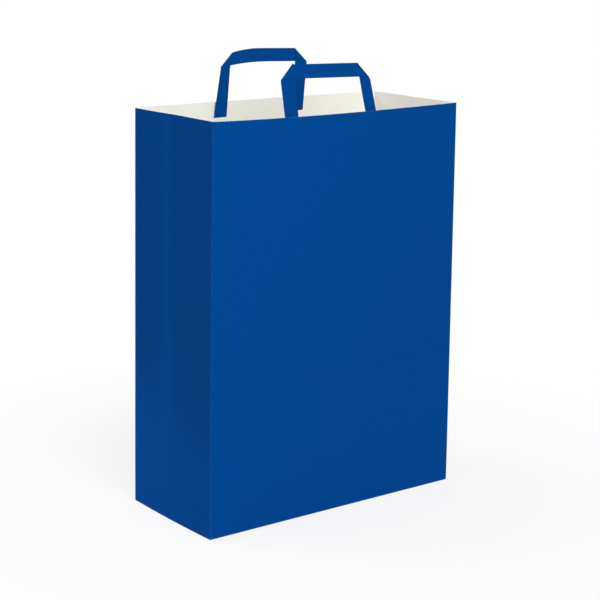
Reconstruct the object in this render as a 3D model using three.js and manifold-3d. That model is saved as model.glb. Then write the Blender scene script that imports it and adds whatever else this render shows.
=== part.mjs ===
// Block-bottom paper carrier bag with two folded flat-strap handles.
// Millimetres, +Z up, front panel towards -Y. The origin is the centre of the base, on the floor.
import * as THREE from 'three'
import { mergeVertices } from 'three/addons/utils/BufferGeometryUtils.js'
import Module from 'manifold-3d'

const wasm = await Module()
wasm.setup()

// Bag body
const bagWidth = 320
const bagDepth = 140
const bagHeight = 420
const paper = 0.15
const cornerRadius = 0.8
const baseCornerRadius = 1.2
const cornerRun = 40
const baseFold = 0.8
const flapOverlap = 30
const flapTrim = 5
const lapWidth = 22
const lapFromCorner = 3

// How the opened bag's corners have moved from its rectangle, in x and y, at the base and at the rim
const baseShift = [[0, 0], [0, 0], [0, 0], [0.8, 2.6]]
const rimShift = [[1.0, -0.8], [-0.3, 5.3], [-2.5, -1.9], [-1.2, -6.5]]
const frontBow = 12
const frontBowSkew = 0.75
const backBow = 3
const gussetBaseBow = 1.3
const gussetBowHeight = 200

// Creases left by the flat-folded bag
const creaseRidge = 0.35
const creaseHalfWidth = 7
const frontCreaseHeight = 152
const gussetDentLow = 1.5
const gussetDentRim = 2
const gussetDentRise = 60

// Strap handles, a leg down each side, folded over at each top corner. foot and neck are how far
// the middle of a leg stands from the handle's middle, at the patch's edge and at neckHeight above it
const strapWidth = 14.2
const strapThickness = 0.5
const plyBond = 0.03
const glueLength = 40
const neckHeight = 50
const frontHandle = {
  centre: -17.7,
  rise: 67.35,
  lean: 15.1,
  tilt: -1.4,
  droopAbove: 0,
  droopBelow: 0,
  legs: [
    {
      foot: 50.8,
      footWidth: 16.6,
      neck: 48.1,
      neckWidth: 17.5,
      mitreRun: 16.8,
      mitreDrop: 14.9,
    },
    {
      foot: 53.8,
      footWidth: 14.6,
      neck: 51.8,
      neckWidth: 14,
      mitreRun: 14.2,
      mitreDrop: 16.4,
    },
  ],
}
const rearHandle = {
  centre: -3.1,
  rise: 71.8,
  lean: 6.9,
  tilt: 1.9,
  droopAbove: 4.3,
  droopBelow: 6.3,
  legs: [
    {
      foot: 51.5,
      footWidth: 14.6,
      neck: 50.4,
      neckWidth: 15.8,
      mitreRun: 17.5,
      mitreDrop: 14.4,
    },
    {
      foot: 51.3,
      footWidth: 16.3,
      neck: 49.4,
      neckWidth: 11.9,
      mitreRun: 13.3,
      mitreDrop: 15,
    },
  ],
}
const droopRunAbove = 35
const droopRunBelow = 45

// Patches glued over the strap ends, inside the mouth
const patchBelowRim = 17
const patchHeight = 46
const patchMargin = 17
const patchRamp = 3
const glueGap = 0.2

// Facets along each panel
const frontFacets = 16
const backFacets = 14
const gussetFacets = 8
const cornerFacets = 4
const foldFacets = 3
const patchFacets = 4

const radians = THREE.MathUtils.degToRad
const lerp = THREE.MathUtils.lerp
const patchTop = bagHeight - patchBelowRim
const gussetApex = bagDepth / 2
const steps = (count) => Array.from({ length: count - 1 }, (_, k) => (k + 1) / count)

// Colours
const bluePaper = new THREE.Color('#00448c')
const paleLining = new THREE.Color('#e6e5dc')

function paperMaterial(colour) {
  return new THREE.MeshStandardMaterial({ color: colour, roughness: 0.6, metalness: 0 })
}

// Solids and joins

function solidOf(geometry) {
  const bare = geometry.clone()
  bare.deleteAttribute('normal')
  bare.deleteAttribute('uv')
  const merged = mergeVertices(bare, 1e-4)
  const vertProperties = new Float32Array(merged.attributes.position.array)
  const triVerts = new Uint32Array(merged.index.array)
  return new wasm.Manifold(new wasm.Mesh({ numProp: 3, vertProperties, triVerts }))
}

function geometryOf(solid) {
  const { vertProperties, triVerts, numProp } = solid.getMesh()
  const geometry = new THREE.BufferGeometry()
  const positions = new Float32Array((vertProperties.length / numProp) * 3)
  for (let i = 0; i < positions.length; i++) {
    positions[i] = vertProperties[Math.floor(i / 3) * numProp + (i % 3)]
  }
  geometry.setAttribute('position', new THREE.BufferAttribute(positions, 3))
  geometry.setIndex(new THREE.BufferAttribute(new Uint32Array(triVerts), 1))
  geometry.computeVertexNormals()
  return geometry
}

function geometryFrom(points, faces) {
  const geometry = new THREE.BufferGeometry()
  geometry.setAttribute('position', new THREE.Float32BufferAttribute(points.flat(), 3))
  geometry.setIndex(faces)
  return geometry
}

// A sheet between two surfaces given on one grid of rows, running up, and columns, running along the wall
function sheet(outer, inner, closed) {
  const rows = outer.length
  const columns = outer[0].length
  const points = [...outer.flat(), ...inner.flat()]
  const out = (row, column) => row * columns + (column % columns)
  const into = (row, column) => rows * columns + out(row, column)
  const faces = []
  const quad = (a, b, c, d) => faces.push(a, b, c, a, c, d)
  const lastColumn = closed ? columns : columns - 1
  for (let c = 0; c < lastColumn; c++) {
    for (let r = 0; r < rows - 1; r++) {
      quad(out(r, c), out(r, c + 1), out(r + 1, c + 1), out(r + 1, c))
      quad(into(r, c), into(r + 1, c), into(r + 1, c + 1), into(r, c + 1))
    }
    const top = rows - 1
    quad(out(top, c), out(top, c + 1), into(top, c + 1), into(top, c))
    quad(out(0, c), into(0, c), into(0, c + 1), out(0, c + 1))
  }
  if (!closed) {
    const end = columns - 1
    for (let r = 0; r < rows - 1; r++) {
      quad(out(r, 0), out(r + 1, 0), into(r + 1, 0), into(r, 0))
      quad(out(r, end), into(r, end), into(r + 1, end), out(r + 1, end))
    }
  }
  return solidOf(geometryFrom(points, faces))
}

// A solid filled up to a stack of rings, capped by a fan at each end
function filled(rings) {
  const count = rings[0].length
  const points = rings.flat()
  const faces = []
  const capAt = (ring) => points.push([0, 0, ring[0][2]]) - 1
  const bottom = capAt(rings[0])
  const top = capAt(rings[rings.length - 1])
  const last = (rings.length - 1) * count
  for (let i = 0; i < count; i++) {
    const next = (i + 1) % count
    for (let r = 0; r < last; r += count) {
      faces.push(r + i, r + next, r + next + count, r + i, r + next + count, r + i + count)
    }
    faces.push(bottom, next, i, top, last + i, last + next)
  }
  return solidOf(geometryFrom(points, faces))
}

function plate(outline, low, thickness) {
  const shape = new THREE.Shape(outline.map(([x, y]) => new THREE.Vector2(x, y)))
  const geometry = new THREE.ExtrudeGeometry(shape, { depth: thickness, bevelEnabled: false })
  geometry.translate(0, 0, low)
  return solidOf(geometry)
}

// The tube of paper

const mouthRise = (z) => z / bagHeight
const corners = [[-1, -1], [1, -1], [1, 1], [-1, 1]]

function cornerAt(index, z) {
  const [sx, sy] = corners[index]
  const [dx, dy] = [0, 1].map((axis) => lerp(baseShift[index][axis], rimShift[index][axis], mouthRise(z)))
  return [(sx * bagWidth) / 2 + dx, (sy * bagDepth) / 2 + dy]
}

function ridge(distance) {
  return creaseRidge * Math.max(0, 1 - Math.abs(distance) / creaseHalfWidth)
}

function frontBulge(u, z) {
  const bow = frontBow * Math.sin(Math.PI * u ** frontBowSkew) * mouthRise(z)
  return bow + ridge(z - frontCreaseHeight)
}

function backBulge(u, z) {
  return backBow * Math.sin(Math.PI * u) * mouthRise(z) + ridge(z - gussetApex)
}

// The gusset folds in along its middle, down to the point where two slanting creases start for the
// base corners
function gussetBulge(u, z, towardsBack) {
  const fromMiddle = Math.abs(2 * u - 1)
  const bow = gussetBaseBow * Math.sin(Math.PI * u) * Math.max(0, 1 - z / gussetBowHeight)
  if (z > gussetApex) {
    const rise = Math.min(1, (z - gussetApex) / gussetDentRise)
    const above = Math.max(0, z - gussetApex - gussetDentRise) / (bagHeight - gussetApex - gussetDentRise)
    const dent = rise * lerp(gussetDentLow, gussetDentRim, above)
    return bow - dent * (1 - fromMiddle) + (towardsBack ? ridge(z - gussetApex) : 0)
  }
  const fromCrease = Math.abs(fromMiddle * gussetApex - (gussetApex - z)) / Math.SQRT2
  const level = towardsBack ? ridge(z - gussetApex) : 0
  return bow + Math.max(ridge(fromCrease) * Math.min(1, z / creaseHalfWidth), level)
}

const sides = [
  { from: 0, to: 1, normal: [0, -1], facets: frontFacets, bulge: frontBulge },
  { from: 1, to: 2, normal: [1, 0], facets: gussetFacets, bulge: (u, z) => gussetBulge(u, z, u > 0.5) },
  { from: 2, to: 3, normal: [0, 1], facets: backFacets, bulge: backBulge },
  { from: 3, to: 0, normal: [-1, 0], facets: gussetFacets, bulge: (u, z) => gussetBulge(u, z, u < 0.5) },
]
const [frontSide, , backSide] = sides

function foldInset(z) {
  const below = Math.max(0, baseFold - z)
  return baseFold - Math.sqrt(baseFold ** 2 - below ** 2)
}

function sidePoint(side, u, z, inset) {
  const [ax, ay] = cornerAt(side.from, z)
  const [bx, by] = cornerAt(side.to, z)
  const push = side.bulge(u, z) - inset - foldInset(z)
  return [lerp(ax, bx, u) + side.normal[0] * push, lerp(ay, by, u) + side.normal[1] * push, z]
}

// How far along the front or back panel a place lies, from its x
function panelAt(side, x, z) {
  const [ax] = cornerAt(side.from, z)
  const [bx] = cornerAt(side.to, z)
  return (x - ax) / (bx - ax)
}

function cornerArc(side, next, z, inset) {
  const radius = lerp(baseCornerRadius, cornerRadius, Math.min(1, z / cornerRun))
  const [x, y] = cornerAt(side.to, z)
  const [ax, ay] = side.normal
  const [bx, by] = next.normal
  const reach = radius - inset - foldInset(z)
  const points = []
  for (let k = 0; k <= cornerFacets; k++) {
    const angle = (Math.PI / 2) * (k / cornerFacets)
    const alongA = Math.cos(angle) * reach - radius
    const alongB = Math.sin(angle) * reach - radius
    points.push([x + ax * alongA + bx * alongB, y + ay * alongA + by * alongB, z])
  }
  return points
}

function ring(z, inset) {
  return sides.flatMap((side, index) => {
    const stations = []
    for (let k = 1; k < side.facets; k++) {
      stations.push(sidePoint(side, k / side.facets, z, inset))
    }
    return [...stations, ...cornerArc(side, sides[(index + 1) % sides.length], z, inset)]
  })
}

function wallLevels() {
  const quarter = Math.PI / 2
  const fold = [0, ...steps(foldFacets)].map((part) => baseFold * (1 - Math.cos(quarter * part)))
  const slanting = steps(gussetFacets / 2).map((part) => part * gussetApex)
  const level = [gussetApex - creaseHalfWidth, gussetApex, gussetApex + creaseHalfWidth]
  const crease = [-1, 0, 1].map((k) => frontCreaseHeight + k * creaseHalfWidth)
  const patch = [patchTop - patchHeight, patchTop]
  const upper = [gussetApex + gussetDentRise, (bagHeight + frontCreaseHeight) / 2, ...patch, bagHeight]
  return [...fold, baseFold, ...slanting, ...level, ...crease, ...upper].sort((a, b) => a - b)
}

// Folded base, from the outside in: back flap, front flap, corner webs, end flaps. The flaps are drawn
// past the walls, which trim them
function baseFlaps() {
  const [backLayer, frontLayer, webLayer, endLayer] = [0, 1, 2, 3].map((k) => k * paper)
  const halfWidth = bagWidth / 2 + flapTrim
  const halfDepth = bagDepth / 2 + flapTrim
  const reach = halfDepth + flapOverlap / 2
  const flap = (side, low) => {
    const edge = side * halfDepth
    const tip = edge - side * reach
    const narrow = halfWidth - reach
    const outline = [[-halfWidth, edge], [halfWidth, edge], [narrow, tip], [-narrow, tip]]
    return plate(side > 0 ? outline.reverse() : outline, low, paper)
  }
  const web = (end, side, low) => {
    const corner = [end * halfWidth, side * halfDepth]
    const along = [end * (halfWidth - reach), side * halfDepth]
    const tip = [end * (halfWidth - reach), side * (halfDepth - reach)]
    const outline = [corner, along, tip]
    return plate(end * side < 0 ? outline.reverse() : outline, low, endLayer - low)
  }
  const endFlap = (end) => {
    const near = end * halfWidth
    const far = end * (halfWidth - reach)
    const outline = [[near, -halfDepth], [far, -halfDepth], [far, halfDepth], [near, halfDepth]]
    return plate(end > 0 ? outline.reverse() : outline, endLayer, paper)
  }
  let base = flap(1, backLayer).add(flap(-1, frontLayer))
  for (const end of [-1, 1]) {
    base = base.add(web(end, 1, frontLayer)).add(web(end, -1, webLayer)).add(endFlap(end))
  }
  return base
}

// The lengthwise glued seam, on the outside of the back panel beside a corner
function lapSeam(levels) {
  const startAt = 1 - (lapFromCorner + lapWidth) / bagWidth
  const endAt = 1 - lapFromCorner / bagWidth
  const heights = levels.filter((z) => z >= baseFold)
  const bite = paper / 2
  const strip = (inset) =>
    heights.map((z) => [startAt, endAt].map((u) => sidePoint(backSide, u, z, inset)))
  return sheet(strip(-paper), strip(bite), false)
}

function bagBody() {
  const levels = wallLevels()
  const tube = sheet(levels.map((z) => ring(z, 0)), levels.map((z) => ring(z, paper)), true)
  const envelope = filled(levels.map((z) => ring(z, 0)))
  return tube.add(baseFlaps().intersect(envelope)).add(lapSeam(levels))
}

// Handles, each drawn as seen from outside its panel: u to the right, v up from the patch's edge

const legOf = (handle, side) => handle.legs[side < 0 ? 0 : 1]

function legEdge(handle, side, v, towards) {
  const leg = legOf(handle, side)
  const climb = Math.max(0, v) / neckHeight
  const middle = lerp(leg.foot, leg.neck, climb)
  return side * (middle + (towards * lerp(leg.footWidth, leg.neckWidth, climb)) / 2)
}

const legOuter = (handle, side, v) => legEdge(handle, side, v, 1)
const legInner = (handle, side, v) => legEdge(handle, side, v, -1)

function meet([ax, ay], [bx, by], [cx, cy], [dx, dy]) {
  const cross = (bx - ax) * (dy - cy) - (by - ay) * (dx - cx)
  const t = ((cx - ax) * (dy - cy) - (cy - ay) * (dx - cx)) / cross
  return [lerp(ax, bx, t), lerp(ay, by, t)]
}

function legStrap(points) {
  const shape = new THREE.Shape(points.map(([u, v]) => new THREE.Vector2(u, v)))
  const geometry = new THREE.ExtrudeGeometry(shape, { depth: strapThickness, bevelEnabled: false })
  geometry.rotateX(Math.PI / 2)
  geometry.translate(0, strapThickness, 0)
  return geometry
}

function inOrder(points, side) {
  return side < 0 ? points : points.reverse()
}

// The fold at a top corner: from the leg's outer edge up to the strap's top edge
function mitre(handle, side) {
  const leg = legOf(handle, side)
  const slope = Math.tan(radians(handle.tilt))
  const sag = side > 0 ? handle.droopAbove : 0
  const height = handle.rise + slope * side * leg.neck - leg.mitreDrop - sag
  const low = [legOuter(handle, side, height), height]
  const along = low[0] - side * leg.mitreRun
  return { low, high: [along, handle.rise + slope * along - sag] }
}

function upperLeg(handle, side) {
  const { low, high } = mitre(handle, side)
  const foot = [legInner(handle, side, 0), 0]
  const innerTop = meet(foot, [legInner(handle, side, handle.rise), handle.rise], low, high)
  return legStrap(inOrder([[legOuter(handle, side, 0), 0], foot, innerTop, low], side))
}

function gluedLeg(handle, side) {
  const outer = legOuter(handle, side, 0)
  const inner = legInner(handle, side, 0)
  const outline = [[outer, -glueLength], [inner, -glueLength], [inner, 0], [outer, 0]]
  return legStrap(inOrder(outline, side))
}

// The strap across the top lies over the outside of both legs
function topStrap(handle) {
  const left = mitre(handle, -1)
  const right = mitre(handle, 1)
  const slope = Math.tan(radians(handle.tilt))
  const edge = (u, drop) => [u, handle.rise + slope * u - drop]
  const lowLeft = meet(left.low, left.high, edge(-1, strapWidth), edge(1, strapWidth))
  const sagDrop = strapWidth + handle.droopBelow
  const lowRight = meet(right.low, right.high, edge(-1, sagDrop), edge(1, sagDrop))
  const bendAbove = right.high[0] - droopRunAbove
  const bendBelow = right.high[0] - droopRunBelow
  const shape = new THREE.Shape()
  shape.moveTo(...lowLeft)
  if (handle.droopBelow > 0) {
    shape.lineTo(...edge(bendBelow, strapWidth))
    shape.quadraticCurveTo(...edge(lerp(bendBelow, lowRight[0], 0.5), strapWidth), ...lowRight)
    shape.lineTo(...right.high)
    shape.quadraticCurveTo(...edge(lerp(bendAbove, right.high[0], 0.5), 0), ...edge(bendAbove, 0))
  } else {
    shape.lineTo(...lowRight)
    shape.lineTo(...right.high)
  }
  shape.lineTo(...left.high)
  const options = { depth: strapThickness + plyBond, bevelEnabled: false, curveSegments: 5 }
  const geometry = new THREE.ExtrudeGeometry(shape, options)
  geometry.rotateX(Math.PI / 2)
  geometry.translate(0, plyBond, 0)
  return geometry
}

// Where a handle stands: its chord along the panel's inner face at the patch's edge, and the panel's
// own slope
function seat(handle, side) {
  const facing = side === frontSide ? 1 : -1
  const innerFace = (u, v) => {
    const along = panelAt(side, handle.centre + facing * u, patchTop + v)
    const [x, y] = sidePoint(side, along, patchTop + v, paper)
    return new THREE.Vector2(facing * (x - handle.centre), facing * y)
  }
  const [leftLeg, rightLeg] = handle.legs.map((leg) => leg.foot)
  const left = innerFace(-leftLeg, 0)
  const right = innerFace(rightLeg, 0)
  const turn = Math.atan2(right.y - left.y, right.x - left.x)
  const middle = left.y - left.x * Math.tan(turn)
  const lower = (innerFace(-leftLeg, -glueLength).y + innerFace(rightLeg, -glueLength).y) / 2
  const panelLean = Math.atan2(lower - middle, glueLength)
  // How far the panel's inner face stands in front of the plane of the glued legs
  const proud = (u, v) => {
    const face = innerFace(u, v)
    return face.y - (middle + face.x * Math.tan(turn) - v * Math.tan(panelLean))
  }
  const edges = [-1, 1].flatMap((leg) => [legOuter(handle, leg, 0), legInner(handle, leg, 0)])
  const heights = edges.flatMap((u) => [proud(u, 0), proud(u, -glueLength)])
  const setBack = Math.max(...heights) + glueGap
  const patchLift = setBack - Math.min(...heights) + strapThickness + glueGap
  return { facing, turn, middle, panelLean, setBack, patchLift }
}

function handleMesh(name, handle, side) {
  const { facing, turn, middle, panelLean, setBack } = seat(handle, side)
  const leaning = (geometry) => solidOf(geometry.rotateX(-radians(handle.lean)))
  const glued = (geometry) => solidOf(geometry.rotateX(panelLean))
  let solid = leaning(topStrap(handle))
  for (const leg of [-1, 1]) {
    solid = solid.add(leaning(upperLeg(handle, leg))).add(glued(gluedLeg(handle, leg)))
  }
  const geometry = geometryOf(solid)
  geometry.translate(0, setBack, 0)
  geometry.rotateZ(turn)
  geometry.translate(0, middle, 0)
  geometry.rotateZ(facing > 0 ? 0 : Math.PI)
  geometry.translate(handle.centre, 0, patchTop)
  return mesh(name, geometry, bluePaper)
}

// The patch lies on the panel's inner face and steps up over each glued leg
function patchMesh(name, handle, side) {
  const { facing, patchLift } = seat(handle, side)
  const profile = []
  for (const leg of [-1, 1]) {
    const outer = legOuter(handle, leg, 0) + (leg * patchRamp) / 2
    const inner = legInner(handle, leg, 0) - (leg * patchRamp) / 2
    const across = [outer, inner]
    across.sort((a, b) => a - b)
    profile.push([across[0] - patchRamp, glueGap], [across[0], patchLift])
    profile.push([across[1], patchLift], [across[1] + patchRamp, glueGap])
  }
  const [, , , betweenFrom, betweenTo] = profile
  const between = steps(patchFacets).map((t) => [lerp(betweenFrom[0], betweenTo[0], t), glueGap])
  const ends = [-1, 1].map((leg) => [legOuter(handle, leg, 0) + leg * patchMargin, glueGap])
  const columns = [ends[0], ...profile.slice(0, 4), ...between, ...profile.slice(4), ends[1]]
  const heights = [patchTop - patchHeight, patchTop - patchHeight / 2, patchTop]
  const face = (extra) => heights.map((z) => columns.map(([u, lift]) => {
    const along = panelAt(side, handle.centre + facing * u, z)
    return sidePoint(side, along, z, paper + lift + extra)
  }))
  return mesh(name, geometryOf(sheet(face(0), face(paper), false)), paleLining)
}

function mesh(name, geometry, colour) {
  const made = new THREE.Mesh(geometry, paperMaterial(colour))
  made.name = name
  return made
}

const group = new THREE.Group()
group.add(mesh('bag_body', geometryOf(bagBody()), bluePaper))
group.add(handleMesh('front_handle', frontHandle, frontSide))
group.add(handleMesh('rear_handle', rearHandle, backSide))
group.add(patchMesh('front_handle_patch', frontHandle, frontSide))
group.add(patchMesh('rear_handle_patch', rearHandle, backSide))

export default group
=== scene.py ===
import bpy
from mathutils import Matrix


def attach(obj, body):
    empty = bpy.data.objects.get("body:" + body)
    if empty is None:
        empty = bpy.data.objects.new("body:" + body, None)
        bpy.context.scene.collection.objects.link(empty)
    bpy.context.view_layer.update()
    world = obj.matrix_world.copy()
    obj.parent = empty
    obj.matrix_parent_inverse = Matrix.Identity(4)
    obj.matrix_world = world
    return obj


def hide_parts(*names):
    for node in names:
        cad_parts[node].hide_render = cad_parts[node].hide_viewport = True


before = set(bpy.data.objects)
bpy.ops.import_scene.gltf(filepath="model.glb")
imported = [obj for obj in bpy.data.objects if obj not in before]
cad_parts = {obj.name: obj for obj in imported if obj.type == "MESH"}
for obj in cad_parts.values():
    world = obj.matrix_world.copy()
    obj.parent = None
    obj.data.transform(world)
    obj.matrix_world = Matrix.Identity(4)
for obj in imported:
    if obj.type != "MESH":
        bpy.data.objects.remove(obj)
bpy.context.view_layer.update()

import math

import bpy
from mathutils import Vector

bl_info = {
    "name": "Paper Carrier Bag",
    "version": (1, 0, 0),
    "blender": (4, 5, 0),
    "location": "View3D > Sidebar > Carrier Bag",
    "description": "Makes an open block-bottom paper carrier bag with two folded strap handles",
    "category": "Add Mesh",
}

MM = 0.001
# Heights this near are the same height
ROUNDING = 0.001 * MM

# How the opened bag's corners have moved from its rectangle, in x and y, at the base and at the rim.
# The corners run front left, front right, back right, back left
CORNER_SIGNS = ((-1, -1), (1, -1), (1, 1), (-1, 1))
BASE_SHIFT = ((0, 0), (0, 0), (0, 0), (0.8 * MM, 2.6 * MM))
RIM_SHIFT = ((1.0 * MM, -0.8 * MM), (-0.3 * MM, 5.3 * MM), (-2.5 * MM, -1.9 * MM), (-1.2 * MM, -6.5 * MM))

# How far the panels bow out of the straight line between their corners
FRONT_BOW = 12 * MM
FRONT_BOW_SKEW = 0.75
BACK_BOW = 3 * MM
GUSSET_BASE_BOW = 1.3 * MM
GUSSET_BOW_HEIGHT = 200 * MM

# The gusset's fold along its middle
GUSSET_DENT_LOW = 1.5 * MM
GUSSET_DENT_RIM = 2 * MM
GUSSET_DENT_RISE = 60 * MM
GUSSET_DENT_BEND = 3.0

CORNER_RADIUS = 0.8 * MM
BASE_CORNER_RADIUS = 1.2 * MM
BASE_CORNER_RUN = 40 * MM
BASE_FOLD = 0.8 * MM
FLAP_OVERLAP = 30 * MM
LAP_WIDTH = 22 * MM
LAP_FROM_CORNER = 3 * MM

# Strap handles, seen from outside their panel. foot and neck are how far the middle of a leg stands from
# the handle's middle, at the patch's edge and NECK_HEIGHT above it. patch_askew is how much higher than its
# place the patch is glued on, at its left end and at its right end
NECK_HEIGHT = 50 * MM
GLUE_LENGTH = 40 * MM
DROOP_RUN_ABOVE = 35 * MM
DROOP_RUN_BELOW = 45 * MM
FRONT_HANDLE = {
    "centre": -17.7 * MM,
    "rise": 67.35 * MM,
    "lean": math.radians(15.1),
    "tilt": math.radians(-1.4),
    "droop_above": 0.0,
    "droop_below": 0.0,
    "patch_askew": (0.0, 0.0),
    "legs": (
        {"foot": 50.8 * MM, "foot_width": 16.6 * MM, "neck": 48.1 * MM, "neck_width": 17.5 * MM,
         "mitre_run": 16.8 * MM, "mitre_drop": 14.9 * MM},
        {"foot": 53.8 * MM, "foot_width": 14.6 * MM, "neck": 51.8 * MM, "neck_width": 14 * MM,
         "mitre_run": 14.2 * MM, "mitre_drop": 16.4 * MM},
    ),
}
REAR_HANDLE = {
    "centre": -3.1 * MM,
    "rise": 71.8 * MM,
    "lean": math.radians(6.9),
    "tilt": math.radians(1.9),
    "droop_above": 4.3 * MM,
    "droop_below": 6.3 * MM,
    "patch_askew": (2.4 * MM, 0.1 * MM),
    "legs": (
        {"foot": 51.5 * MM, "foot_width": 14.6 * MM, "neck": 50.4 * MM, "neck_width": 15.8 * MM,
         "mitre_run": 17.5 * MM, "mitre_drop": 14.4 * MM},
        {"foot": 51.3 * MM, "foot_width": 16.3 * MM, "neck": 49.4 * MM, "neck_width": 11.9 * MM,
         "mitre_run": 13.3 * MM, "mitre_drop": 15 * MM},
    ),
}

# Patches over the strap ends
PATCH_HEIGHT = 46 * MM
PATCH_BELOW_RIM = 17 * MM
PATCH_MARGIN = 17 * MM
PATCH_RAMP = 2.5 * MM
GLUE_GAP = 0.2 * MM
GLUE_FILM = 0.03 * MM

FRONT, RIGHT, BACK, LEFT = range(4)
SIDES = (
    {"from": 0, "to": 1, "out": (0, -1)},
    {"from": 1, "to": 2, "out": (1, 0)},
    {"from": 2, "to": 3, "out": (0, 1)},
    {"from": 3, "to": 0, "out": (-1, 0)},
)


def lerp(a, b, t):
    return a + (b - a) * t


def smooth(value):
    """A soft step from 0 to 1"""
    t = max(0.0, min(1.0, value))
    return t * t * (3 - 2 * t)


def share_to_back(side, u):
    """How far towards the back a place on a gusset lies, as a share of the depth"""
    return u if side == RIGHT else 1 - u


# What a user may change


def length(name, description, default, low, precision=2):
    return bpy.props.FloatProperty(name=name, description=description, default=default, min=low,
                                   precision=precision, unit="LENGTH")


def tint(name, description, default):
    return bpy.props.FloatVectorProperty(name=name, description=description, default=default,
                                         min=0, max=1, subtype="COLOR")


class BagSizes(bpy.types.PropertyGroup):
    """Sizes of the folded bag and of its paper"""

    width: length("Width", "Width of the front panel at the base", 0.320, 0.1)
    depth: length("Depth", "Depth of the base from front to back", 0.140, 0.05)
    height: length("Height", "Height of the rim above the floor", 0.420, 0.1)
    paper: length("Paper", "Thickness of the bag's paper", 0.00015, 0.00005, 5)
    front_crease: length("Front Crease", "Height of the crease across the front", 0.152, 0.05)
    crease_height: length("Crease Height", "How far a crease stands proud", 0.00035, 0.0, 5)
    crease_half_width: length("Crease Half Width", "How far a crease spreads to each side", 0.007, 0.001)
    swell: length("Swell", "Depth of the slack waves in the walls", 0.0006, 0.0, 5)
    strap_width: length("Strap Width", "Width of the handle straps", 0.0142, 0.005, 4)
    strap_thickness: length("Strap Thickness", "Thickness of a folded strap", 0.0005, 0.0002, 5)


class BagColours(bpy.types.PropertyGroup):
    """Colours of the papers and of the floor"""

    print_blue: tint("Print", "Printed outside of the bag and of the straps", (0.0, 0.0515, 0.2306))
    lining: tint("Lining", "Bare inside of the bag, and the patches", (0.90, 0.895, 0.83))
    cut_edge: tint("Cut Edge", "Cut edges of the paper", (0.75, 0.70, 0.53))
    floor: tint("Floor", "Floor under the bag", (0.93, 0.93, 0.93))


# The walls' shape


class BagShape:
    """The opened bag's walls, as a rule that gives a point for a side, a place along it and a height"""

    def __init__(self, sizes):
        self.width = sizes.width
        self.depth = sizes.depth
        self.height = sizes.height
        self.paper = sizes.paper
        self.front_crease = sizes.front_crease
        self.apex = sizes.depth / 2
        self.patch_top = sizes.height - PATCH_BELOW_RIM

    def corner(self, index, z):
        up = z / self.height
        sx, sy = CORNER_SIGNS[index]
        (bx, by), (rx, ry) = BASE_SHIFT[index], RIM_SHIFT[index]
        return sx * self.width / 2 + lerp(bx, rx, up), sy * self.depth / 2 + lerp(by, ry, up)

    def bulge(self, side, u, z):
        up = z / self.height
        if side == FRONT:
            return FRONT_BOW * math.sin(math.pi * u**FRONT_BOW_SKEW) * up
        if side == BACK:
            return BACK_BOW * math.sin(math.pi * u) * up
        bow = GUSSET_BASE_BOW * math.sin(math.pi * u) * max(0.0, 1 - z / GUSSET_BOW_HEIGHT)
        if z <= self.apex:
            return bow
        rise = smooth((z - self.apex) / GUSSET_DENT_RISE)
        above = max(0.0, z - self.apex - GUSSET_DENT_RISE) / (self.height - self.apex - GUSSET_DENT_RISE)
        from_middle = abs(2 * u - 1)
        dent = rise * lerp(GUSSET_DENT_LOW, GUSSET_DENT_RIM, above)
        bend = GUSSET_DENT_BEND if share_to_back(side, u) > 0.5 else 1.0
        return bow - dent * (1 - from_middle) ** bend

    def fold_inset(self, z):
        below = max(0.0, BASE_FOLD - z)
        return BASE_FOLD - math.sqrt(max(0.0, BASE_FOLD**2 - below**2))

    def point(self, side, u, z, inset=0.0):
        ax, ay = self.corner(SIDES[side]["from"], z)
        bx, by = self.corner(SIDES[side]["to"], z)
        nx, ny = SIDES[side]["out"]
        push = self.bulge(side, u, z) - inset - self.fold_inset(z)
        return Vector((lerp(ax, bx, u) + nx * push, lerp(ay, by, u) + ny * push, z))

    def corner_point(self, side, turn, z, inset=0.0):
        """A point on the rounded corner after a side, turn of the way round it"""
        radius = lerp(BASE_CORNER_RADIUS, CORNER_RADIUS, min(1.0, z / BASE_CORNER_RUN))
        x, y = self.corner(SIDES[side]["to"], z)
        (ax, ay), (bx, by) = SIDES[side]["out"], SIDES[(side + 1) % 4]["out"]
        reach = radius - inset - self.fold_inset(z)
        along_a = math.cos(turn * math.pi / 2) * reach - radius
        along_b = math.sin(turn * math.pi / 2) * reach - radius
        return Vector((x + ax * along_a + bx * along_b, y + ay * along_a + by * along_b, z))


# Meshes and objects


def plain_mesh(name, points, faces):
    mesh = bpy.data.meshes.new(name)
    mesh.from_pydata([tuple(p) for p in points], [], faces)
    mesh.update()
    return mesh


def point_attribute(mesh, name, values, kind="FLOAT"):
    attribute = mesh.attributes.new(name, kind, "POINT")
    if kind == "FLOAT":
        attribute.data.foreach_set("value", values)
    else:
        attribute.data.foreach_set("vector", [c for v in values for c in v])


def add_object(name, data):
    added = bpy.data.objects.new(name, data)
    bpy.context.scene.collection.objects.link(added)
    return added


def made_plain(name, mesh, tree, inputs):
    """The mesh that a Geometry Nodes tree makes of a start mesh"""
    start = add_object(name + "_start", mesh)
    modifier = start.modifiers.new("Paper", "NODES")
    modifier.node_group = tree
    sockets = {s.name: s.identifier for s in tree.interface.items_tree if s.item_type == "SOCKET"}
    for key, value in inputs.items():
        modifier[sockets[key]] = value
    graph = bpy.context.evaluated_depsgraph_get()
    made = bpy.data.meshes.new_from_object(start.evaluated_get(graph), depsgraph=graph)
    made.name = name
    bpy.data.objects.remove(start)
    return made


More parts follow.
